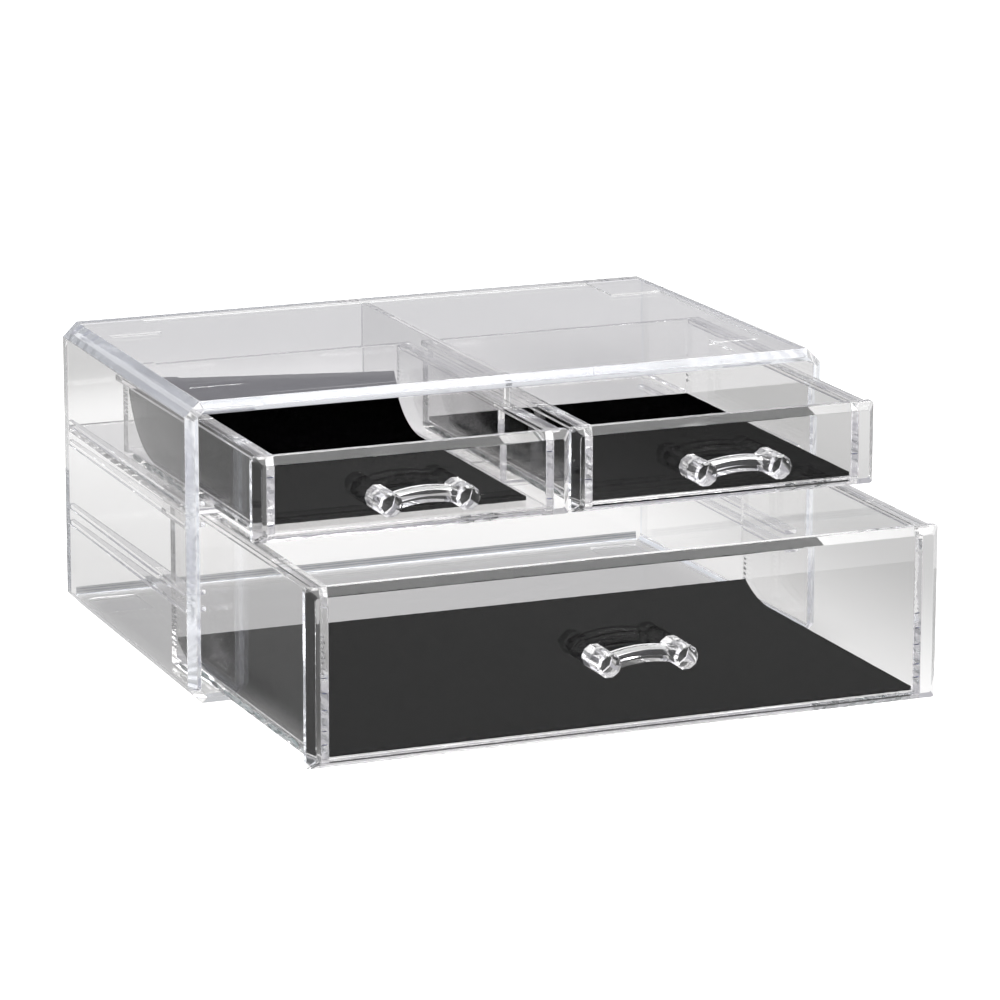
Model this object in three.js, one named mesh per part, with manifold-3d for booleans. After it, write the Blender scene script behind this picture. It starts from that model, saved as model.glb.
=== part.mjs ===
// Clear acrylic storage box with three drawers for make-up and jewellery.
// Millimetres, +Z up, front of the box towards -Y. The origin is the middle of the case's underside.
import * as THREE from "three";
import { mergeVertices } from "three/addons/utils/BufferGeometryUtils.js";
import Module from "manifold-3d";

const wasm = await Module();
wasm.setup();

// Case: a moulded sleeve, open at the front, a little narrower at the back
const caseWidth = 241;
const caseDepth = 147;
const caseHeight = 107;
const caseDraft = 3.0;
const caseChamfer = 5.3;
const caseWall = 4.2;
const caseBackWall = 3.2;
const rimBevel = 2.7;
const backEdgeBevel = 1.5;
const cavityChamfer = 1.2;

// Guide ribs moulded on the inside of the case's side walls
const ribHeight = 1.8;
const ribInset = 7.5;
const ribSideGap = 1.5;
const spareRibLowZ = 31.3;
const spareRibPitch = 6.1;

// Stacking: a shallow tray in the top, whose corners stay full height, and seats in the underside
const stackDepth = 0.6;
const stackMarginX = 11.5;
const stackMarginY = 7;
const padWidth = 19;
const padLength = 22;
const seatCorner = 2;

// Shelf and divider
const lowerBayHeight = 62.2;
const shelfThickness = 2.4;
const dividerThickness = 2.5;
const cementLine = 0.1;

// Drawers: bonded from flat plates, with a bevelled front plate
const frontThickness = 5.2;
const frontBevel = 2.7;
const frontCornerRadius = 1;
const frontSideGap = 0.9;
const frontMiddleGap = 1;
const lowerTopGap = 0.5;
const upperTopGap = 4;
const wallInset = 5.3;
const trayWall = 3;
const trayFloor = 2.8;
const trayBackGap = 0.8;
const slideGap = 0.4;
const runnerWidth = 2.6;
const runnerHeight = 2.2;

// How far each drawer is pulled out at rest
const lowerPull = 103;
const upperLeftPull = 53.2;
const upperRightPull = 52.8;

// Handles: two faceted studs and an arched bar between them
const studSpacing = 28;
const studAcross = 8.8;
const studLength = 14;
const studSides = 10;
const studBevel = 0.8;
const handleDrop = 1.7;
const barHeight = 5.2;
const barDepth = 7;
const barSetback = 1.6;
const barRise = 2.2;
const barCrown = 1.1;
const barSteps = 10;

// Felt liners, loose in the trays. Two of them lie far enough back for their back edges to turn up:
// the lower one a little, and the upper left one, which has slid back, a lot.
const linerThickness = 1.4;
const linerGap = 0.3;
const linerBendSteps = 8;
const lowerBendRun = 21;
const lowerBendRise = 6;
const slidFrontGap = 10;
const slidSideGap = 3;
const slidBendRun = 29;
const slidBendRise = 21.5;

// One allowance carries every cut past the face that it opens
const overrun = 1;

const acrylic = { color: 0xf2f5f7, roughness: 0.04, metalness: 0, transparent: true, opacity: 0.35 };
const felt = { color: 0x131314, roughness: 0.95, metalness: 0 };

// A closed solid through rings of points, each ring with the same number of points
function loft(rings) {
  const count = rings[0].length;
  const positions = rings.flat().flatMap((point) => [point.x, point.y, point.z]);
  const index = [];
  for (let ring = 0; ring < rings.length - 1; ring += 1) {
    for (let step = 0; step < count; step += 1) {
      const a = ring * count + step;
      const b = ring * count + (step + 1) % count;
      index.push(a, b, b + count, a, b + count, a + count);
    }
  }
  const last = (rings.length - 1) * count;
  for (let step = 1; step < count - 1; step += 1) {
    index.push(0, step + 1, step, last, last + step, last + step + 1);
  }
  const geometry = new THREE.BufferGeometry();
  geometry.setAttribute("position", new THREE.Float32BufferAttribute(positions, 3));
  geometry.setIndex(index);
  return signedVolume(geometry) < 0 ? turnedOver(geometry) : geometry;
}

function signedVolume(geometry) {
  const position = geometry.getAttribute("position");
  const index = geometry.getIndex().array;
  const corners = [new THREE.Vector3(), new THREE.Vector3(), new THREE.Vector3()];
  let volume = 0;
  for (let start = 0; start < index.length; start += corners.length) {
    corners.forEach((corner, side) => corner.fromBufferAttribute(position, index[start + side]));
    volume += corners[0].dot(corners[1].clone().cross(corners[2]));
  }
  return volume;
}

function turnedOver(geometry) {
  geometry.setIndex(Array.from(geometry.getIndex().array).reverse());
  return geometry;
}

function solidOf(geometry) {
  const bare = geometry.clone();
  bare.deleteAttribute("normal");
  bare.deleteAttribute("uv");
  const merged = mergeVertices(bare);
  return new wasm.Manifold(new wasm.Mesh({
    numProp: 3,
    vertProperties: new Float32Array(merged.getAttribute("position").array),
    triVerts: new Uint32Array(merged.getIndex().array),
  }));
}

function geometryOf(solid) {
  const mesh = solid.getMesh();
  const geometry = new THREE.BufferGeometry();
  geometry.setAttribute("position", new THREE.BufferAttribute(new Float32Array(mesh.vertProperties), 3));
  geometry.setIndex(new THREE.BufferAttribute(new Uint32Array(mesh.triVerts), 1));
  return geometry;
}

// A block between two corners
function block(low, high) {
  const size = high.clone().sub(low);
  const middle = high.clone().add(low).divideScalar(2);
  return new THREE.BoxGeometry(size.x, size.y, size.z).translate(middle.x, middle.y, middle.z);
}

function vec(x, y, z) {
  return new THREE.Vector3(x, y, z);
}

// Eight-cornered section at one depth: a rectangle whose corners are cut by chamfer
function chamferedRing(halfWidth, low, high, chamfer, y) {
  return [
    vec(-halfWidth + chamfer, y, low),
    vec(halfWidth - chamfer, y, low),
    vec(halfWidth, y, low + chamfer),
    vec(halfWidth, y, high - chamfer),
    vec(halfWidth - chamfer, y, high),
    vec(-halfWidth + chamfer, y, high),
    vec(-halfWidth, y, high - chamfer),
    vec(-halfWidth, y, low + chamfer),
  ];
}

// Places that several pieces share
const caseFront = -caseDepth / 2;
const caseBack = caseDepth / 2;
const cavityBack = caseBack - caseBackWall;
const frontBackFace = caseFront + frontThickness;
const trayBack = cavityBack - trayBackGap;
const shelfLow = caseWall + lowerBayHeight;
const shelfHigh = shelfLow + shelfThickness;
const ceiling = caseHeight - caseWall;
const frontHalfWidth = caseWidth / 2 - caseWall - frontSideGap;
const ribFace = frontHalfWidth - wallInset + ribSideGap;
const ribFront = caseFront + ribInset;
const lowerFrontLow = caseWall + slideGap;
const lowerRim = shelfLow - lowerTopGap;
const upperFrontLow = shelfHigh + slideGap;
const upperRim = ceiling - upperTopGap;
const lipRibHigh = lowerRim - runnerHeight - slideGap;

// Half the case's outer width at a depth, with the mould's draft
function halfWidthAt(y) {
  return caseWidth / 2 - caseDraft * (y - caseFront) / caseDepth;
}

function caseSolid() {
  // The bevels cut the flats and the corner chamfers alike, so a corner keeps its length
  const corner = caseChamfer - (2 - Math.SQRT2) * rimBevel;
  const backCorner = caseChamfer - (2 - Math.SQRT2) * backEdgeBevel;
  const outer = loft([
    chamferedRing(halfWidthAt(caseFront) - rimBevel, rimBevel, caseHeight - rimBevel, corner, caseFront),
    chamferedRing(halfWidthAt(caseFront + rimBevel), 0, caseHeight, caseChamfer, caseFront + rimBevel),
    chamferedRing(halfWidthAt(caseBack - backEdgeBevel), 0, caseHeight, caseChamfer, caseBack - backEdgeBevel),
    chamferedRing(halfWidthAt(caseBack) - backEdgeBevel, backEdgeBevel, caseHeight - backEdgeBevel,
      backCorner, caseBack),
  ]);
  const mouth = caseFront - overrun;
  const cavity = loft([
    chamferedRing(halfWidthAt(mouth) - caseWall, caseWall, ceiling, cavityChamfer, mouth),
    chamferedRing(halfWidthAt(cavityBack) - caseWall, caseWall, ceiling, cavityChamfer, cavityBack),
  ]);
  const hollow = solidOf(outer).subtract(solidOf(cavity));
  const ribbed = ribBlocks().reduce((body, rib) => body.add(rib), hollow);
  return stackingCuts().reduce((body, cut) => body.subtract(cut), ribbed);
}

// Every rib runs from just behind the closed front plates to the back wall, on both sides
function ribBlocks() {
  const lows = [spareRibLowZ, spareRibLowZ + spareRibPitch, lipRibHigh - ribHeight, shelfHigh + cementLine];
  const root = halfWidthAt(cavityBack) - caseWall / 2;
  const frontRoot = halfWidthAt(ribFront) - caseWall / 2;
  const ribs = [];
  for (const side of [-1, 1]) {
    for (const low of lows) {
      ribs.push(solidOf(loft([ribFront, cavityBack + caseBackWall / 2].map((y, end) => {
        const outerX = side * (end === 0 ? frontRoot : root);
        const innerX = side * ribFace;
        return [
          vec(innerX, y, low), vec(outerX, y, low),
          vec(outerX, y, low + ribHeight), vec(innerX, y, low + ribHeight),
        ];
      }))));
    }
  }
  return ribs;
}

// Rounded rectangle standing on Z, between two heights
function roundedBlock(x0, x1, y0, y1, low, high, radius) {
  const outline = new THREE.Shape();
  outline.moveTo(x0 + radius, y0);
  outline.lineTo(x1 - radius, y0);
  outline.absarc(x1 - radius, y0 + radius, radius, -Math.PI / 2, 0);
  outline.lineTo(x1, y1 - radius);
  outline.absarc(x1 - radius, y1 - radius, radius, 0, Math.PI / 2);
  outline.lineTo(x0 + radius, y1);
  outline.absarc(x0 + radius, y1 - radius, radius, Math.PI / 2, Math.PI);
  outline.lineTo(x0, y0 + radius);
  outline.absarc(x0 + radius, y0 + radius, radius, Math.PI, Math.PI * 3 / 2);
  return new THREE.ExtrudeGeometry(outline, { depth: high - low, bevelEnabled: false, curveSegments: 4 })
    .translate(0, 0, low);
}

// The top's shallow tray keeps its four corners, and the underside has a seat under each of them
function stackingCuts() {
  const halfX = caseWidth / 2 - stackMarginX;
  const halfY = caseDepth / 2 - stackMarginY;
  const tray = solidOf(roundedBlock(-halfX, halfX, -halfY, halfY,
    caseHeight - stackDepth, caseHeight + overrun, seatCorner));
  const pads = [];
  const seats = [];
  for (const sideX of [-1, 1]) {
    for (const sideY of [-1, 1]) {
      const xs = [sideX * halfX, sideX * (halfX - padWidth)].sort((a, b) => a - b);
      const ys = [sideY * halfY, sideY * (halfY - padLength)].sort((a, b) => a - b);
      pads.push(solidOf(block(
        vec(xs[0] - overrun, ys[0] - overrun, caseHeight - stackDepth - overrun),
        vec(xs[1] + overrun, ys[1] + overrun, caseHeight + overrun + overrun))));
      seats.push(solidOf(roundedBlock(xs[0], xs[1], ys[0], ys[1], -overrun, stackDepth, seatCorner)));
    }
  }
  return [pads.reduce((body, pad) => body.subtract(pad), tray), ...seats];
}

// The shelf follows the case's draft, with a cement line at its side and back edges
function shelfGeometry() {
  const front = frontBackFace + slideGap;
  const back = cavityBack - cementLine;
  return loft([front, back].map((y) => {
    const half = halfWidthAt(y) - caseWall - cementLine;
    return [vec(-half, y, shelfLow), vec(half, y, shelfLow), vec(half, y, shelfHigh), vec(-half, y, shelfHigh)];
  }));
}

function dividerGeometry() {
  return block(
    vec(-dividerThickness / 2, frontBackFace + slideGap, shelfHigh + cementLine),
    vec(dividerThickness / 2, cavityBack - cementLine, ceiling - cementLine));
}

// A front plate: rounded corners, a land round its back, and a wide bevel on its four front edges
function frontGeometry(x0, x1, low, high) {
  const outline = (inset) => {
    const radius = frontCornerRadius;
    const centres = [
      [x1 - inset - radius, high - inset - radius, 0],
      [x0 + inset + radius, high - inset - radius, 1],
      [x0 + inset + radius, low + inset + radius, 2],
      [x1 - inset - radius, low + inset + radius, 3],
    ];
    const arcSteps = 3;
    return centres.flatMap(([x, z, quarter]) => Array.from({ length: arcSteps + 1 }, (_, step) => {
      const angle = (quarter + step / arcSteps) * Math.PI / 2;
      return [x + radius * Math.cos(angle), z + radius * Math.sin(angle)];
    }));
  };
  const ringAt = (inset, y) => outline(inset).map(([x, z]) => vec(x, y, z));
  return loft([
    ringAt(frontBevel, caseFront),
    ringAt(0, caseFront + frontBevel),
    ringAt(0, frontBackFace),
  ]);
}

// A bridge handle, moulded in one: studs square to the plate, and a bar that arches up between them
function handleGeometry(x, z) {
  const studTip = caseFront - studLength;
  const studRoot = caseFront - cementLine;
  const radius = studAcross / 2;
  const studs = [-1, 1].map((side) => {
    const ring = (r, y) => Array.from({ length: studSides }, (_, step) => {
      const angle = (step + 1 / 2) / studSides * Math.PI * 2;
      return vec(x + side * studSpacing / 2 + r * Math.cos(angle), y, z + r * Math.sin(angle));
    });
    return solidOf(loft([
      ring(radius - studBevel, studTip),
      ring(radius, studTip + studBevel),
      ring(radius, studRoot),
    ]));
  });
  const barFront = studTip + barSetback;
  const barBack = barFront + barDepth;
  const barShoulder = barDepth / 4;
  const sections = Array.from({ length: barSteps + 1 }, (_, step) => {
    const along = step / barSteps * 2 - 1;
    const middle = z + barRise * (1 - along * along);
    const sectionX = x + along * studSpacing / 2;
    const bottom = middle - barHeight / 2;
    const top = middle + barHeight / 2;
    return [
      vec(sectionX, barFront, bottom),
      vec(sectionX, barBack, bottom),
      vec(sectionX, barBack, top - barCrown),
      vec(sectionX, barBack - barShoulder, top),
      vec(sectionX, barFront + barShoulder, top),
      vec(sectionX, barFront, top - barCrown),
    ];
  });
  const joined = studs.reduce((body, stud) => body.add(stud), solidOf(loft(sections)));
  return geometryOf(joined);
}

// A flat felt liner, with a gap to the floor and walls of its tray
function flatLiner(inner, floorTop) {
  return block(
    vec(inner.x0 + linerGap, inner.y0 + linerGap, floorTop + linerGap),
    vec(inner.x1 - linerGap, inner.y1 - linerGap, floorTop + linerGap + linerThickness));
}

// A liner whose back edge turns up against the back wall, in an arc with this run and rise
function bentLiner(inner, floorTop, frontGap, sideGap, run, rise) {
  const front = inner.y0 + frontGap;
  const back = inner.y1 - linerGap;
  const low = floorTop + linerGap;
  const sweep = 2 * Math.atan(rise / run);
  const radius = run / Math.sin(sweep);
  const under = [new THREE.Vector2(front, low)];
  const over = [new THREE.Vector2(front, low + linerThickness)];
  for (let step = 0; step <= linerBendSteps; step += 1) {
    const angle = sweep * step / linerBendSteps;
    const across = new THREE.Vector2(-Math.sin(angle), Math.cos(angle));
    const point = new THREE.Vector2(back - run, low + radius).addScaledVector(across, -radius);
    under.push(point);
    over.push(point.clone().addScaledVector(across, linerThickness));
  }
  const outline = new THREE.Shape([...under, ...over.reverse()]);
  const left = inner.x0 + linerGap;
  const width = inner.x1 - sideGap - left;
  const upright = new THREE.Matrix4().makeBasis(vec(0, 1, 0), vec(0, 0, 1), vec(1, 0, 0));
  return new THREE.ExtrudeGeometry(outline, { depth: width, bevelEnabled: false })
    .applyMatrix4(upright)
    .translate(left, 0, 0);
}

function lowerLiner(inner, floorTop) {
  return bentLiner(inner, floorTop, linerGap, linerGap, lowerBendRun, lowerBendRise);
}

function slidLiner(inner, floorTop) {
  return bentLiner(inner, floorTop, slidFrontGap, slidSideGap, slidBendRun, slidBendRise);
}

function named(name, geometry, finish) {
  const mesh = new THREE.Mesh(geometry, new THREE.MeshStandardMaterial(finish));
  mesh.name = name;
  return mesh;
}

// One drawer, built where it sits when it is closed, then pulled out by its group's position
function drawer({ prefix, x0, x1, low, high, pull, liner }) {
  const outerLeft = x0 + wallInset;
  const outerRight = x1 - wallInset;
  const innerLeft = outerLeft + trayWall;
  const innerRight = outerRight - trayWall;
  const trayFront = frontBackFace + cementLine;
  const backFace = trayBack - trayWall;
  const wallLow = low + trayFloor + cementLine;
  const middleX = (x0 + x1) / 2;
  const inner = { x0: innerLeft, x1: innerRight, y0: trayFront, y1: backFace };
  const pieces = {
    front_plate: frontGeometry(x0, x1, low, high),
    floor: block(vec(outerLeft, trayFront, low), vec(outerRight, trayBack, low + trayFloor)),
    left_wall: block(vec(outerLeft, trayFront, wallLow), vec(innerLeft, trayBack, high)),
    right_wall: block(vec(innerRight, trayFront, wallLow), vec(outerRight, trayBack, high)),
    back_wall: block(
      vec(innerLeft + cementLine, backFace, wallLow),
      vec(innerRight - cementLine, trayBack, high)),
    left_runner: block(
      vec(outerLeft - cementLine - runnerWidth, trayFront, high - runnerHeight),
      vec(outerLeft - cementLine, trayBack, high)),
    right_runner: block(
      vec(outerRight + cementLine, trayFront, high - runnerHeight),
      vec(outerRight + cementLine + runnerWidth, trayBack, high)),
    handle: handleGeometry(middleX, (low + high) / 2 - handleDrop),
  };
  const group = new THREE.Group();
  for (const [piece, geometry] of Object.entries(pieces)) {
    group.add(named(`${prefix}_${piece}`, geometry, acrylic));
  }
  group.add(named(`${prefix}_liner`, liner(inner, low + trayFloor), felt));
  group.position.set(0, -pull, 0);
  return group;
}

const group = new THREE.Group();
group.add(named("case_shell", geometryOf(caseSolid()), acrylic));
group.add(named("shelf_board", shelfGeometry(), acrylic));
group.add(named("centre_divider", dividerGeometry(), acrylic));

const drawers = [
  {
    prefix: "lower", x0: -frontHalfWidth, x1: frontHalfWidth,
    low: lowerFrontLow, high: lowerRim, pull: lowerPull, liner: lowerLiner,
  },
  {
    prefix: "upper_left", x0: -frontHalfWidth, x1: -frontMiddleGap / 2,
    low: upperFrontLow, high: upperRim, pull: upperLeftPull, liner: slidLiner,
  },
  {
    prefix: "upper_right", x0: frontMiddleGap / 2, x1: frontHalfWidth,
    low: upperFrontLow, high: upperRim, pull: upperRightPull, liner: flatLiner,
  },
];
drawers.forEach((each) => group.add(drawer(each)));

export default group;
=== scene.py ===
import math
import random

import bmesh
import bpy
from mathutils import Matrix, Vector, noise


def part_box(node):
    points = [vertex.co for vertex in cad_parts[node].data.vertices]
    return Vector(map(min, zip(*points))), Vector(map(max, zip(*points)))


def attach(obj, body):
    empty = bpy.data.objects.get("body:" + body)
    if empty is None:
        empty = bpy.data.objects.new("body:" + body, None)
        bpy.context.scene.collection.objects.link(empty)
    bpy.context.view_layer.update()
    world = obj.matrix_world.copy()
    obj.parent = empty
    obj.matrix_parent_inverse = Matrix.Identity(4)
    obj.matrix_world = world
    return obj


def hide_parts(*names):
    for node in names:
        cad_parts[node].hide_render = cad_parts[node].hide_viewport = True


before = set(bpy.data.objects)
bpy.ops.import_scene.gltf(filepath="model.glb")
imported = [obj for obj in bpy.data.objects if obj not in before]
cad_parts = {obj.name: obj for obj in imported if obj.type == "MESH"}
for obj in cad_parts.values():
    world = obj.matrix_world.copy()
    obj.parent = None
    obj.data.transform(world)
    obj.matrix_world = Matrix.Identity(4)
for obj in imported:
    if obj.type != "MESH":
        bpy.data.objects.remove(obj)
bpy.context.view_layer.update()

# Camera: the photograph's view, from the front and left and a little above, with a long lens.
# Its place is a distance and two angles from a point near the middle of the case.
camera_azimuth = math.radians(22.654)
camera_elevation = math.radians(13.778)
camera_roll = math.radians(0.102)
camera_distance = 1.8967
camera_right = 0.0238
camera_up = -0.0076
camera_reach = 100
focal_pixels = 5213
frame_pixels = 1000
sensor_width = 36

case_low, case_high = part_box("case_shell")
target = Vector((0, 0, (case_low.z + case_high.z) / 2))
forward = Vector((
    math.sin(camera_azimuth) * math.cos(camera_elevation),
    math.cos(camera_azimuth) * math.cos(camera_elevation),
    -math.sin(camera_elevation),
))
level = Vector((math.cos(camera_azimuth), -math.sin(camera_azimuth), 0))
upright = level.cross(forward)
right = level * math.cos(camera_roll) + upright * math.sin(camera_roll)
up = upright * math.cos(camera_roll) - level * math.sin(camera_roll)
place = target - forward * camera_distance + level * camera_right + upright * camera_up

camera_data = bpy.data.cameras.new("camera")
camera_data.sensor_width = sensor_width
camera_data.lens = sensor_width * focal_pixels / frame_pixels
camera_data.clip_end = camera_reach
camera = bpy.data.objects.new("camera", camera_data)
bpy.context.collection.objects.link(camera)
camera.matrix_world = Matrix.Translation(place) @ Matrix((right, up, -forward)).transposed().to_4x4()
bpy.context.scene.camera = camera


# Studio: a pale matt floor under a soft overhead light, with grey walls round it and a darker room
# behind the camera, which is what draws the edges of clear plastic.
class Wire:
    """A shader socket that can be added, multiplied and so on, and that makes the nodes around it."""

    def __init__(self, tree, socket=None):
        self.tree = tree
        self.socket = socket

    def node(self, kind, settings=None, sockets=None, out=0):
        made = self.tree.nodes.new(kind)
        for name, value in (settings or {}).items():
            if name == "stops":
                for position, colour in value[len(made.color_ramp.elements):]:
                    made.color_ramp.elements.new(position)
                for element, (position, colour) in zip(made.color_ramp.elements, value):
                    element.position = position
                    element.color = (*colour, 1)
            else:
                setattr(made, name, value)
        for name, value in (sockets or {}).items():
            if isinstance(value, Wire):
                self.tree.links.new(value.socket, made.inputs[name])
            else:
                made.inputs[name].default_value = value
        return Wire(self.tree, made.outputs[out] if made.outputs else None)

    def math(self, operation, *values):
        return self.node("ShaderNodeMath", {"operation": operation}, dict(enumerate(values)))

    def __add__(self, other):
        return self.math("ADD", self, other)

    __radd__ = __add__

    def __mul__(self, other):
        return self.math("MULTIPLY", self, other)

    __rmul__ = __mul__

    def __sub__(self, other):
        return self.math("SUBTRACT", self, other)

    def __rsub__(self, other):
        return self.math("SUBTRACT", other, self)

    def step(self, low, high):
        """0 below low, 1 above high, and smooth between them."""
        return self.node("ShaderNodeMapRange", {"interpolation_type": "SMOOTHSTEP"},
                         {"Value": self, "From Min": low, "From Max": high})

    def axis(self, letter):
        return self.node("ShaderNodeSeparateXYZ", None, {0: self}, "XYZ".index(letter))

    def mix(self, first, second):
        """A colour between two, by this wire's value."""
        return self.node("ShaderNodeMix", {"data_type": "RGBA"}, {0: self, 6: first, 7: second}, 2)


def new_tree(owner):
    owner.use_nodes = True
    owner.node_tree.nodes.clear()
    return Wire(owner.node_tree)


def surface(name, paint):
    """A material whose shader sockets are what paint gives for the object's own coordinates."""
    material = bpy.data.materials.new(name)
    tree = new_tree(material)
    where = tree.node("ShaderNodeTexCoord", None, None, "Object")
    shader = tree.node("ShaderNodeBsdfPrincipled", None, paint(where))
    tree.node("ShaderNodeOutputMaterial", None, {"Surface": shader})
    return material


# The light that comes from each direction. A pair holds the two values between which it changes.
white = (1, 1, 1, 1)
wall_tint = (0.93, 0.925, 1.0, 1)
wall_light = 0.5
ceiling_light = 1.6
ceiling_edge = (0.35, 0.75)
room_light = 0.12
room_front = (0.15, 0.6)
room_top = (0.25, 0.5)
panel_light = 1.2
panel_side = (0.62, 0.7)
panel_foot = (0.04, 0.1)
panel_top = (0.42, 0.48)
softbox_light = 8
softbox_aim = Vector((0.2, 0.0, 0.97)).normalized()
softbox_edge = (0.89, 0.91)

world = bpy.data.worlds.new("studio")
bpy.context.scene.world = world
light = new_tree(world)
toward = light.node("ShaderNodeTexCoord")
height = toward.axis("Z")
overhead = height.step(*ceiling_edge)
room = (toward.axis("Y") * -1).step(*room_front) * (1 - height.step(*room_top))
panel = (toward.axis("X") * -1).step(*panel_side) * height.step(*panel_foot) * (1 - height.step(*panel_top))
nearness = toward.node("ShaderNodeVectorMath", {"operation": "DOT_PRODUCT"}, {0: toward, 1: softbox_aim}, 1)
brightness = wall_light + overhead * (ceiling_light - wall_light) + room * (room_light - wall_light)
brightness = brightness + panel * panel_light + nearness.step(*softbox_edge) * softbox_light
tint = overhead.mix(wall_tint, white)
glow = light.node("ShaderNodeBackground", None, {"Color": tint, "Strength": brightness})
light.node("ShaderNodeOutputWorld", None, {"Surface": glow})

# The floor glows, with a painted shadow under the case and painted shade beside it and behind it, and more
# straight to the camera.
floor_radius = 12
floor_segments = 96
floor_colour = (0.02, 0.02, 0.02, 1)
floor_glow = 0.94
straight_glow = 0.8
far_glow = 0.2
far_edge = (0.1, 0.4)
case_shade = 0.39
case_shade_blur = 0.02
left_shade = 0.67
left_edge = -0.112
left_blur = 0.02
right_shade = 0.45
right_edge = 0.1
right_blur = 0.12
rear_shade = 0.3
rear_edge = 0.37
rear_blur = 0.1


def floor_glow_and_painted_shade(where):
    shaded = 1
    for letter, half in (("X", case_high.x), ("Y", case_high.y)):
        away = where.axis(letter).math("ABSOLUTE", where.axis(letter))
        shaded = shaded * (1 - away.step(half - case_shade_blur, half + case_shade_blur))
    far = where.node("ShaderNodeVectorMath", {"operation": "LENGTH"}, {0: where}, 1).step(*far_edge)
    left_side = (left_edge - where.axis("X")).step(0, left_blur)
    rear = (where.axis("Y") - rear_edge).step(0, rear_blur)
    right_side = (where.axis("X") - right_edge).step(0, right_blur) * (1 - rear)
    # Painted shadow: the glow is lowered under the case, and lowered as painted shade at its left, right and
    # far rear.
    glow_with_painted_shade = floor_glow + far * far_glow - shaded * case_shade
    glow_with_painted_shade = glow_with_painted_shade - left_side * left_shade - right_side * right_shade - rear * rear_shade
    straight = where.node("ShaderNodeLightPath", None, None, "Is Camera Ray")
    return {
        "Base Color": floor_colour, "Roughness": 1.0, "Specular IOR Level": 0.0,
        "Emission Color": straight * straight_glow + glow_with_painted_shade, "Emission Strength": 1.0,
    }


floor_mesh = bmesh.new()
bmesh.ops.create_circle(floor_mesh, cap_ends=True, segments=floor_segments, radius=floor_radius)
floor_data = bpy.data.meshes.new("studio_floor")
floor_mesh.to_mesh(floor_data)
floor_mesh.free()
floor_data.materials.append(surface("floor_glow_and_painted_shade", floor_glow_and_painted_shade))
floor = bpy.data.objects.new("studio_floor", floor_data)
bpy.context.collection.objects.link(floor)

clear_bounces = 80
matt_bounces = 4
gloss_filter = 0.3
scene = bpy.context.scene
scene.view_settings.view_transform = "Standard"
scene.cycles.max_bounces = clear_bounces
scene.cycles.transmission_bounces = clear_bounces
scene.cycles.glossy_bounces = clear_bounces
scene.cycles.diffuse_bounces = matt_bounces
scene.cycles.blur_glossy = gloss_filter
scene.cycles.use_denoising = True


# Case: one moulding of clear acrylic, closed at the back, with guide ribs inside its side walls, a
# shallow stacking tray in the top and a bevel all round its mouth. Its long edges are left sharp
# with a polished arris. Its bevels and its mouth are a little rough.
edge_angle = math.radians(20)
flat_angle = math.radians(0.5)
merge_distance = 1e-6
case_arris = 0.00035
arris_segments = 2
acrylic_index = 1.49
acrylic_tint = (0.99, 0.987, 0.986, 1)
edge_tint = (0.9, 0.935, 1.0, 1)
edge_blur = 0.16
relief_height = 0.001
haze_scale = 90.0
haze_edge = (0.45, 0.8)
haze_blur = 0.03
cement_scale = 260.0
cement_reach = 0.0006
cement_relief = 0.03
squarely = 0.97
wide_face = 0.0001
mouth_depth = 0.0035


def acrylic(name, waviness=0.004, wave_scale=25, cemented_at=None, blur=0.004, tint=acrylic_tint, shine=0.4):
    """Polished clear plastic: faint flow marks all over, and wavy cement up to y = cemented_at."""

    def paint(where):
        flow = where.node("ShaderNodeTexNoise", None, {"Vector": where, "Scale": wave_scale, "Detail": 1.0})
        relief = flow * waviness
        if cemented_at is not None:
            near = (cemented_at + cement_reach - where.axis("Y")).step(0, cement_reach)
            cement = where.node("ShaderNodeTexNoise", None,
                                {"Vector": where, "Scale": cement_scale, "Detail": 1.5, "Distortion": 0.6})
            relief = relief + cement * (near * cement_relief)
        bump = where.node("ShaderNodeBump", None,
                          {"Strength": 1.0, "Distance": relief_height, "Height": relief})
        haze = where.node("ShaderNodeTexNoise", None, {"Vector": where, "Scale": haze_scale, "Detail": 3.0})
        return {
            "Base Color": tint, "Roughness": haze.step(*haze_edge) * haze_blur + blur, "IOR": acrylic_index,
            "Transmission Weight": 1.0, "Specular Tint": (shine, shine, shine, 1), "Normal": bump,
        }

    return surface(name, paint)


def add_object(name, mesh, body, materials, node):
    """A finished bmesh as a piece of the model: it rides on a body and stands for a CAD node."""
    data = bpy.data.meshes.new(name)
    mesh.to_mesh(data)
    mesh.free()
    for material in materials:
        data.materials.append(material)
    piece = bpy.data.objects.new(name, data)
    bpy.context.collection.objects.link(piece)
    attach(piece, body)
    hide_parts(node)
    return piece


def polish(mesh, arris):
    """Breaks every sharp edge by a small rounded arris."""
    mesh.normal_update()
    sharp = [e for e in mesh.edges if len(e.link_faces) == 2 and e.calc_face_angle(0) > edge_angle]
    bmesh.ops.bevel(mesh, geom=sharp, offset=arris, offset_type="OFFSET", segments=arris_segments,
                    profile=0.5, affect="EDGES", clamp_overlap=True, material=-1)


def merge_flats(mesh):
    """Joins doubled points and makes the flat faces whole again."""
    bmesh.ops.remove_doubles(mesh, verts=mesh.verts, dist=merge_distance)
    bmesh.ops.dissolve_limit(mesh, angle_limit=flat_angle, verts=mesh.verts, edges=mesh.edges)


def cad_copy(node):
    """A copy of a CAD node's mesh, with its flat faces whole."""
    mesh = bmesh.new()
    mesh.from_mesh(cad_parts[node].data)
    merge_flats(mesh)
    return mesh


clear = acrylic("clear_acrylic")
moulded_edge = acrylic("moulded_edge", blur=edge_blur, tint=edge_tint)
shell = cad_copy("case_shell")
polish(shell, case_arris)
for face in shell.faces:
    main = max(abs(value) for value in face.normal)
    at_mouth = face.calc_center_median().y < case_low.y + mouth_depth
    face.material_index = int(face.calc_area() > wide_face and (main < squarely or at_mouth))
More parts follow.
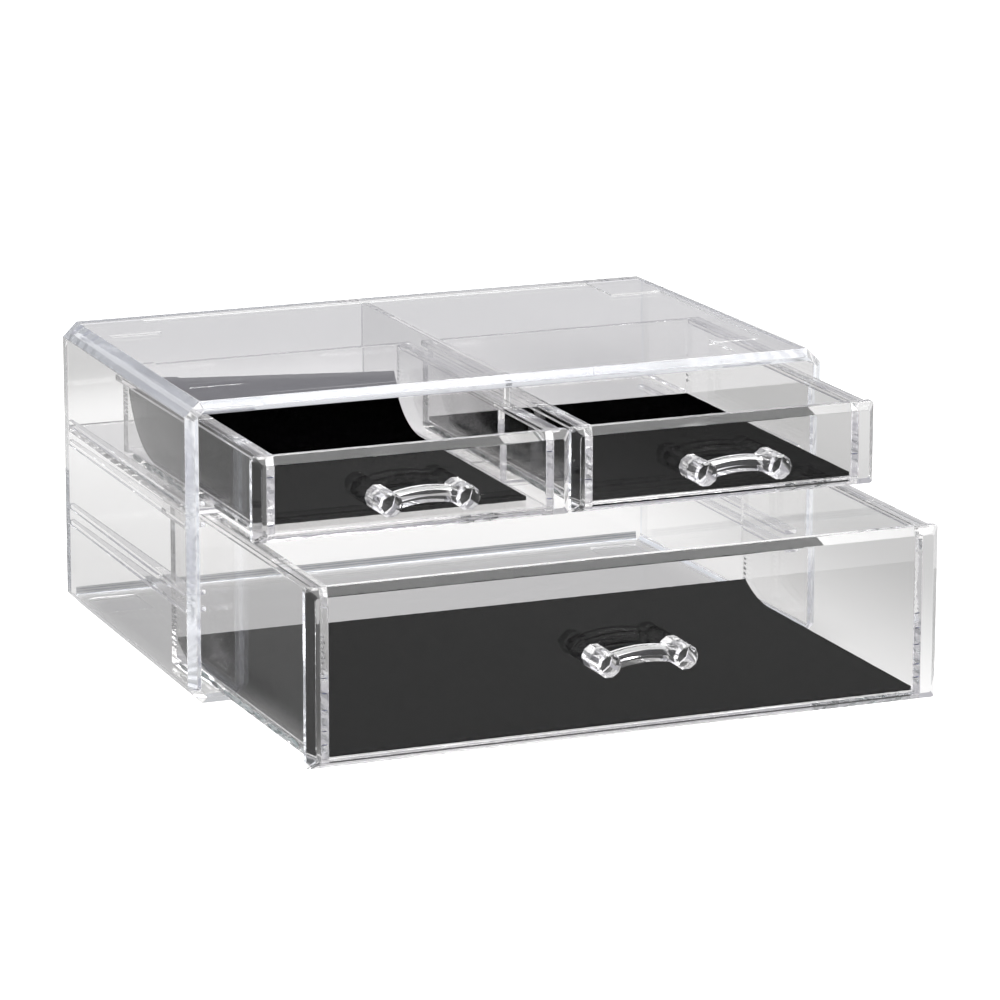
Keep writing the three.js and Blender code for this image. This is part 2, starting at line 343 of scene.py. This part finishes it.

# The sleeve and its back wall are welded along the bottom in a fillet, painted as a pale streaky highlight
# with grey lines of painted reflection.
back_wall = 0.0032
inner_back = case_high.y - back_wall
inner_floor = 0.0042
weld_height = 0.003
weld_depth = 0.0012
weld_half = 0.1115
weld_sink = 0.0002
weld_steps = 6
# The fillet's pale colour is a painted highlight and its grey ripples are painted reflection, laid on as a
# part-clear film.
fillet_painted_highlight = (0.95, 0.96, 0.97, 1)
fillet_painted_reflection = (0.5, 0.54, 0.62, 1)
fillet_highlight_cover = 0.55
streak_cover = 0.3
streak_scale = 30.0
streak_turn = 2
ripple_rate = 7000
ripple_edge = (0.2, 0.8)

profile = [
    (inner_back + weld_sink, inner_floor - weld_sink),
    (inner_back + weld_sink, inner_floor + weld_height),
]
for step in range(weld_steps + 1):
    angle = -math.pi / 2 * step / weld_steps
    profile.append((
        inner_back - weld_depth + weld_depth * math.cos(angle),
        inner_floor + weld_height + weld_height * math.sin(angle),
    ))
profile.append((inner_back - weld_depth, inner_floor - weld_sink))
end_face = shell.faces.new([shell.verts.new((-weld_half, y, z)) for y, z in profile])
extruded = bmesh.ops.extrude_face_region(shell, geom=[end_face], use_keep_orig=True)
moved = [item for item in extruded["geom"] if isinstance(item, bmesh.types.BMVert)]
bmesh.ops.translate(shell, vec=(2 * weld_half, 0, 0), verts=moved)
weld_faces = list({face for vert in moved for face in vert.link_faces} | {end_face})
bmesh.ops.recalc_face_normals(shell, faces=weld_faces)
for face in weld_faces:
    face.material_index = 2


# Painted highlight: pale, with grey ripple lines of painted reflection, and partly see-through.
def fillet_highlight_paint(where):
    streak = where.node("ShaderNodeTexNoise", None, {"Vector": where, "Scale": streak_scale, "Detail": 2.0})
    phase = where.axis("Z") * ripple_rate + streak * streak_turn
    return {
        "Base Color": phase.math("SINE", phase).step(*ripple_edge).mix(fillet_painted_highlight, fillet_painted_reflection),
        "Roughness": 0.4, "Metallic": 0.3, "Alpha": fillet_highlight_cover + streak * streak_cover,
    }


back_fillet_highlight = surface("back_fillet_highlight", fillet_highlight_paint)
add_object("case_moulding", shell, "case", [clear, moulded_edge, back_fillet_highlight], "case_shell")


# Shelf and divider: two flat boards of clear sheet, cemented to the ribs, the walls and each other.
# The boards are bonded without a gap, so each runs a hair's breadth into what it is cemented to.
bond = 0.0003
sheet_arris = 0.00025
bubble_detail = 3
marble_scale = 420.0
marble_stretch = (1, 0.22, 1)
marble_shades = (
    (0.36, (0.05, 0.08, 0.09)),
    (0.46, (0.45, 0.56, 0.57)),
    (0.54, (0.9, 0.93, 0.93)),
    (0.66, (0.3, 0.36, 0.38)),
)
line_colour = (0.02, 0.035, 0.14, 1)
bead_colour = (0.95, 0.96, 0.96, 1)
cement_blur = 0.3


def marble_paint(where):
    drawn_out = where.node("ShaderNodeVectorMath", {"operation": "MULTIPLY"}, {0: where, 1: marble_stretch})
    marble = where.node("ShaderNodeTexNoise", None,
                        {"Vector": drawn_out, "Scale": marble_scale, "Detail": 2.0, "Distortion": 1.2})
    shades = marble.node("ShaderNodeValToRGB", {"stops": marble_shades}, {"Fac": marble})
    return {"Base Color": shades, "Roughness": cement_blur, "Alpha": 0.8}


cement_marble = surface("dried_cement", marble_paint)
cement_line = surface("cement_line", lambda where: {"Base Color": line_colour, "Roughness": cement_blur})
cement_bead = surface("cement_bead", lambda where: {"Base Color": bead_colour, "Roughness": cement_blur})
cement_slots = {"marble": 1, "line": 2, "bead": 3}


def add_bubbles(mesh, bubbles):
    """Flattened blobs of cement just inside a sheet's face, each with its centre, half sizes and kind."""
    for centre, radii, kind in bubbles:
        shape = Matrix.LocRotScale(centre, None, radii)
        made = bmesh.ops.create_icosphere(mesh, subdivisions=bubble_detail, radius=1, matrix=shape)
        for face in {face for vert in made["verts"] for face in vert.link_faces}:
            face.smooth = True
            face.material_index = cement_slots[kind]


def board(node, name, body, material, grow_low=(0, 0, 0), grow_high=(0, 0, 0), bubbles=()):
    """A flat sheet cut to its CAD box, lengthened by a bond on the sides that are cemented."""
    low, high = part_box(node)
    low = low - Vector(grow_low) * bond
    high = high + Vector(grow_high) * bond
    mesh = bmesh.new()
    bmesh.ops.create_cube(mesh, size=1)
    bmesh.ops.scale(mesh, vec=high - low, verts=mesh.verts)
    bmesh.ops.translate(mesh, vec=(low + high) / 2, verts=mesh.verts)
    polish(mesh, sheet_arris)
    add_bubbles(mesh, bubbles)
    cements = [cement_marble, cement_line, cement_bead] if bubbles else []
    add_object(name, mesh, body, [material, *cements], node)


shelf = cad_copy("shelf_board")
polish(shelf, sheet_arris)
add_object("shelf", shelf, "case", [clear], "shelf_board")
board("centre_divider", "divider", "case", clear, (0, 0, 1), (0, 1, 1))

# Drawer fronts: thick clear plates with a wide polished bevel on all four front edges and small
# rounded corners. Their side faces are sawn, so a little rough. The tray is cemented to the back.
drawers = {"lower": "lower_drawer", "upper_left": "upper_left_drawer", "upper_right": "upper_right_drawer"}
plate_arris = 0.00015
cut_face = 0.00002


def front_plate(prefix, body):
    node = prefix + "_front_plate"
    mesh = cad_copy(node)
    polish(mesh, plate_arris)
    mesh.normal_update()
    for face in mesh.faces:
        face.material_index = int(abs(face.normal.x) > squarely and face.calc_area() > cut_face)
    add_object(prefix + "_front", mesh, body, [clear, moulded_edge], node)


for prefix, body in drawers.items():
    front_plate(prefix, body)

# Trays: floor, two side walls and a back wall cut from sheet and cemented edge to edge, with a
# narrow runner strip along the outside of each side wall, level with its rim.
# The cement has left smears under the side walls, beads in the back corners and ticks at the front.
bubble_depth = 0.00032
bubble_half = 0.00014
floor_marks = {
    "lower": (0.02, 1.0, 0.0115),
    "upper_left": (0.5, 1.0, 0.011),
    "upper_right": (0.1, 0.9, 0.026),
}
smear_length = (0.4, 0.6)
smear_pitch = (0.8, 1.2)
smear_shift = (-0.25, 0.25)
smear_height = (0.5, 0.85)
smear_end_gap = 1.5
corner_rows = {
    "lower": (0.0, 0.3, 0.0019),
    "upper_left": (0.35, 1.0, 0.00145),
    "upper_right": (0.1, 0.5, 0.0021),
}
row_start = 0.0015
bead_pitch = (0.95, 1.05)
bead_height = (0.24, 0.34)
bead_length = 1.2
bead_inset = 1.4
front_ticks = {"lower": (0.08, 0.16, 0.28, 0.38, 0.47), "upper_left": (0.1, 0.72), "upper_right": (0.3,)}
tick_length = (0.6, 0.85)
tick_half = 0.0002
chance = random.Random(4)


def floor_smears(prefix):
    """Smears on the two cut edges of a tray's floor, between two shares of its depth."""
    low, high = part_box(prefix + "_floor")
    middle = (low.z + high.z) / 2
    half = (high.z - low.z) / 2
    start, end, pitch = floor_marks[prefix]
    smears = []
    for edge, inward in ((low.x, 1), (high.x, -1)):
        along = low.y + start * (high.y - low.y)
        while along < low.y + end * (high.y - low.y) - smear_end_gap * pitch:
            half_length = pitch * chance.uniform(*smear_length)
            along += pitch * chance.uniform(*smear_pitch)
            smears.append((
                Vector((edge + inward * bubble_depth, along, middle + half * chance.uniform(*smear_shift))),
                Vector((bubble_half, half_length, half * chance.uniform(*smear_height))), "marble",
            ))
    return smears


def wall_bubbles(prefix, node, inner):
    """Beads in one side wall up its back corner, and ticks at its front; its inner face is at x = inner."""
    low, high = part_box(node)
    middle = (low.x + high.x) / 2
    half = (high.x - low.x) / 2
    inward = math.copysign(1, inner - middle)
    start, end, pitch = corner_rows[prefix]
    upward = low.z + row_start + start * (high.z - low.z)
    bubbles = []
    while upward < low.z + end * (high.z - low.z) - pitch:
        upward += pitch * chance.uniform(*bead_pitch)
        bubbles.append((
            Vector((inner - inward * bubble_depth, high.y - half * bead_inset, upward)),
            Vector((bubble_half, half * bead_length, pitch * chance.uniform(*bead_height))), "bead",
        ))
    for share in front_ticks[prefix]:
        bubbles.append((
            Vector((middle, low.y + bubble_depth, low.z + share * (high.z - low.z))),
            Vector((half * chance.uniform(*tick_length), bubble_half, tick_half)), "line",
        ))
    return bubbles


for prefix, body in drawers.items():
    bonded = acrylic(prefix + "_tray_acrylic", cemented_at=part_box(prefix + "_front_plate")[1].y)
    board(prefix + "_floor", prefix + "_tray_floor", body, bonded, (0, 1, 0), bubbles=floor_smears(prefix))
    left_wall = prefix + "_left_wall"
    right_wall = prefix + "_right_wall"
    board(left_wall, prefix + "_tray_left", body, bonded, (0, 1, 1),
          bubbles=wall_bubbles(prefix, left_wall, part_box(left_wall)[1].x))
    board(right_wall, prefix + "_tray_right", body, bonded, (0, 1, 1),
          bubbles=wall_bubbles(prefix, right_wall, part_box(right_wall)[0].x))
    board(prefix + "_back_wall", prefix + "_tray_back", body, bonded, (1, 0, 1), (1, 0, 0))
    board(prefix + "_left_runner", prefix + "_runner_left", body, bonded, (0, 1, 0), (1, 0, 0))
    board(prefix + "_right_runner", prefix + "_runner_right", body, bonded, (1, 1, 0))

# Handles: clear mouldings with two ten-sided studs, bevelled at their ends, joined by an arched bar
# with a crowned top. They are cemented to the middle of each front.
stud_spacing = 0.028
stud_across = 0.0088
stud_sides = 10
stud_bevel = 0.0008
bar_height = 0.0052
bar_depth = 0.007
bar_setback = 0.0016
bar_rise = 0.0022
bar_steps = 32
bar_crown = 0.0031
crown_steps = 5
handle_arris = 0.00018
handle_crease = math.radians(14)


def stud(centre_x, centre_z, tip, root):
    mesh = bmesh.new()
    turn = Matrix.Rotation(math.pi / 2, 4, "X") @ Matrix.Rotation(math.pi / stud_sides, 4, "Z")
    bmesh.ops.create_cone(mesh, cap_ends=True, segments=stud_sides, radius1=stud_across / 2,
                          radius2=stud_across / 2, depth=root - tip, matrix=turn)
    bmesh.ops.translate(mesh, vec=(centre_x, (tip + root) / 2, centre_z), verts=mesh.verts)
    rim = [e for e in mesh.edges if all(v.co.y < tip + stud_bevel / 2 for v in e.verts)]
    bmesh.ops.bevel(mesh, geom=rim, offset=stud_bevel, offset_type="OFFSET", segments=1,
                    profile=0.5, affect="EDGES", clamp_overlap=True, material=-1)
    polish(mesh, handle_arris)
    return mesh


def bar(centre_x, centre_z, front):
    """The bar's section is drawn at one end and spun along its arch."""
    mesh = bmesh.new()
    half_span = stud_spacing / 2
    crown_radius = (bar_crown ** 2 + (bar_depth / 2) ** 2) / (2 * bar_crown)
    crown_angle = math.asin(bar_depth / 2 / crown_radius)
    arch_radius = (bar_rise ** 2 + half_span ** 2) / (2 * bar_rise)
    arch_angle = 2 * math.asin(half_span / arch_radius)
    middle_z = centre_z + bar_rise
    section = [(front, -bar_height / 2), (front + bar_depth, -bar_height / 2)]
    for step in range(crown_steps + 1):
        angle = crown_angle * (1 - 2 * step / crown_steps)
        section.append((
            front + bar_depth / 2 + crown_radius * math.sin(angle),
            bar_height / 2 + crown_radius * (math.cos(angle) - 1),
        ))
    ring = [mesh.verts.new((centre_x, y, middle_z + z)) for y, z in section]
    face = mesh.faces.new(ring)
    axis_point = Vector((centre_x, 0, middle_z - arch_radius))
    bmesh.ops.rotate(mesh, cent=axis_point, matrix=Matrix.Rotation(-arch_angle / 2, 3, "Y"), verts=ring)
    bmesh.ops.spin(mesh, geom=[face], cent=axis_point, axis=(0, 1, 0), angle=arch_angle,
                   steps=bar_steps, use_merge=False)
    bmesh.ops.recalc_face_normals(mesh, faces=mesh.faces)
    return mesh


def as_temporary(name, mesh):
    data = bpy.data.meshes.new(name)
    mesh.to_mesh(data)
    mesh.free()
    made = bpy.data.objects.new(name, data)
    bpy.context.collection.objects.link(made)
    return made


def handle(prefix, body):
    node = prefix + "_handle"
    low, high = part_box(node)
    centre_x = (low.x + high.x) / 2
    centre_z = low.z + stud_across / 2 * math.cos(math.pi / stud_sides / 2)
    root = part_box(prefix + "_front_plate")[0].y + bond / 4
    base = as_temporary("stud_a", stud(centre_x - stud_spacing / 2, centre_z, low.y, root))
    others = [
        as_temporary("stud_b", stud(centre_x + stud_spacing / 2, centre_z, low.y, root)),
        as_temporary("bar", bar(centre_x, centre_z, low.y + bar_setback)),
    ]
    for other in others:
        join = base.modifiers.new(other.name, "BOOLEAN")
        join.operation = "UNION"
        join.solver = "EXACT"
        join.object = other
    evaluated = base.evaluated_get(bpy.context.evaluated_depsgraph_get())
    mesh = bmesh.new()
    mesh.from_mesh(evaluated.to_mesh())
    evaluated.to_mesh_clear()
    for used in [base, *others]:
        bpy.data.objects.remove(used)
    merge_flats(mesh)
    mesh.normal_update()
    for face in mesh.faces:
        face.smooth = True
    for edge in mesh.edges:
        edge.smooth = len(edge.link_faces) == 2 and edge.calc_face_angle(0) < handle_crease
    add_object(prefix + "_pull", mesh, body, [handle_clear], node)


handle_clear = acrylic("handle_acrylic", waviness=0.02, wave_scale=120, shine=1.0)
for prefix, body in drawers.items():
    handle(prefix, body)

# Liners: black needle felt, cut with scissors to the size of each tray and laid in loose. The lower
# one turns up a little against the back wall. The upper left one has slid back and curls up there.
fibre_scale = 1800.0
fibre_edge = (0.35, 0.75)
patch_scale = 60.0
patch_share = 0.3
felt_dark = (0.0001, 0.0001, 0.0001, 1)
felt_pale = (0.0012, 0.0012, 0.0013, 1)
nap_height = 0.0004
felt_thickness = 0.0014
felt_cell = 0.002
felt_unevenness = 0.00006
uneven_scale = 90
felt_bends = {"lower": (0.021, 0.006, 0.0), "upper_left": (0.029, 0.0215, 0.13)}


def felt_paint(where):
    fibres = where.node("ShaderNodeTexNoise", None,
                        {"Vector": where, "Scale": fibre_scale, "Detail": 4.0, "Roughness": 0.7})
    patches = where.node("ShaderNodeTexNoise", None, {"Vector": where, "Scale": patch_scale, "Detail": 3.0})
    shade = fibres.step(*fibre_edge) * (1 - patch_share) + patches * patch_share
    nap = where.node("ShaderNodeBump", None, {"Strength": 0.8, "Distance": nap_height, "Height": fibres})
    return {
        "Base Color": shade.mix(felt_dark, felt_pale), "Roughness": 0.95,
        "Specular IOR Level": 0.0, "Normal": nap,
    }


def liner(prefix, body):
    """A flat sheet whose back end may follow an arc, given by the run and the rise of its underside.

    The arc's angle falls off towards the right by the share sag."""
    node = prefix + "_liner"
    low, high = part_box(node)
    width = high.x - low.x
    length = high.y - low.y
    flat_part = length
    radius = 0
    sag = 0
    if prefix in felt_bends:
        run, rise, sag = felt_bends[prefix]
        sweep = 2 * math.atan2(rise, run)
        radius = run / math.sin(sweep)
        flat_part = length - run
        length = flat_part + radius * sweep
    mesh = bmesh.new()
    bmesh.ops.create_grid(mesh, x_segments=round(width / felt_cell), y_segments=round(length / felt_cell),
                          size=0.5)
    for vert in mesh.verts:
        along = (vert.co.y + 0.5) * length
        angle = max(0, along - flat_part) / radius if radius else 0
        angle *= 1 - sag * (vert.co.x + 0.5)
        uneven = 2 * noise.noise(Vector((vert.co.x, along, 0)) * uneven_scale) + 1
        vert.co = (
            (low.x + high.x) / 2 + vert.co.x * width,
            low.y + min(along, flat_part) + radius * math.sin(angle),
            low.z + radius * (1 - math.cos(angle)) + felt_unevenness * uneven,
        )
    piece = add_object(prefix + "_felt", mesh, body, [felt], node)
    thick = piece.modifiers.new("thickness", "SOLIDIFY")
    thick.thickness = felt_thickness
    thick.offset = 1


felt = surface("black_felt", felt_paint)
for prefix, body in drawers.items():
    liner(prefix, body)
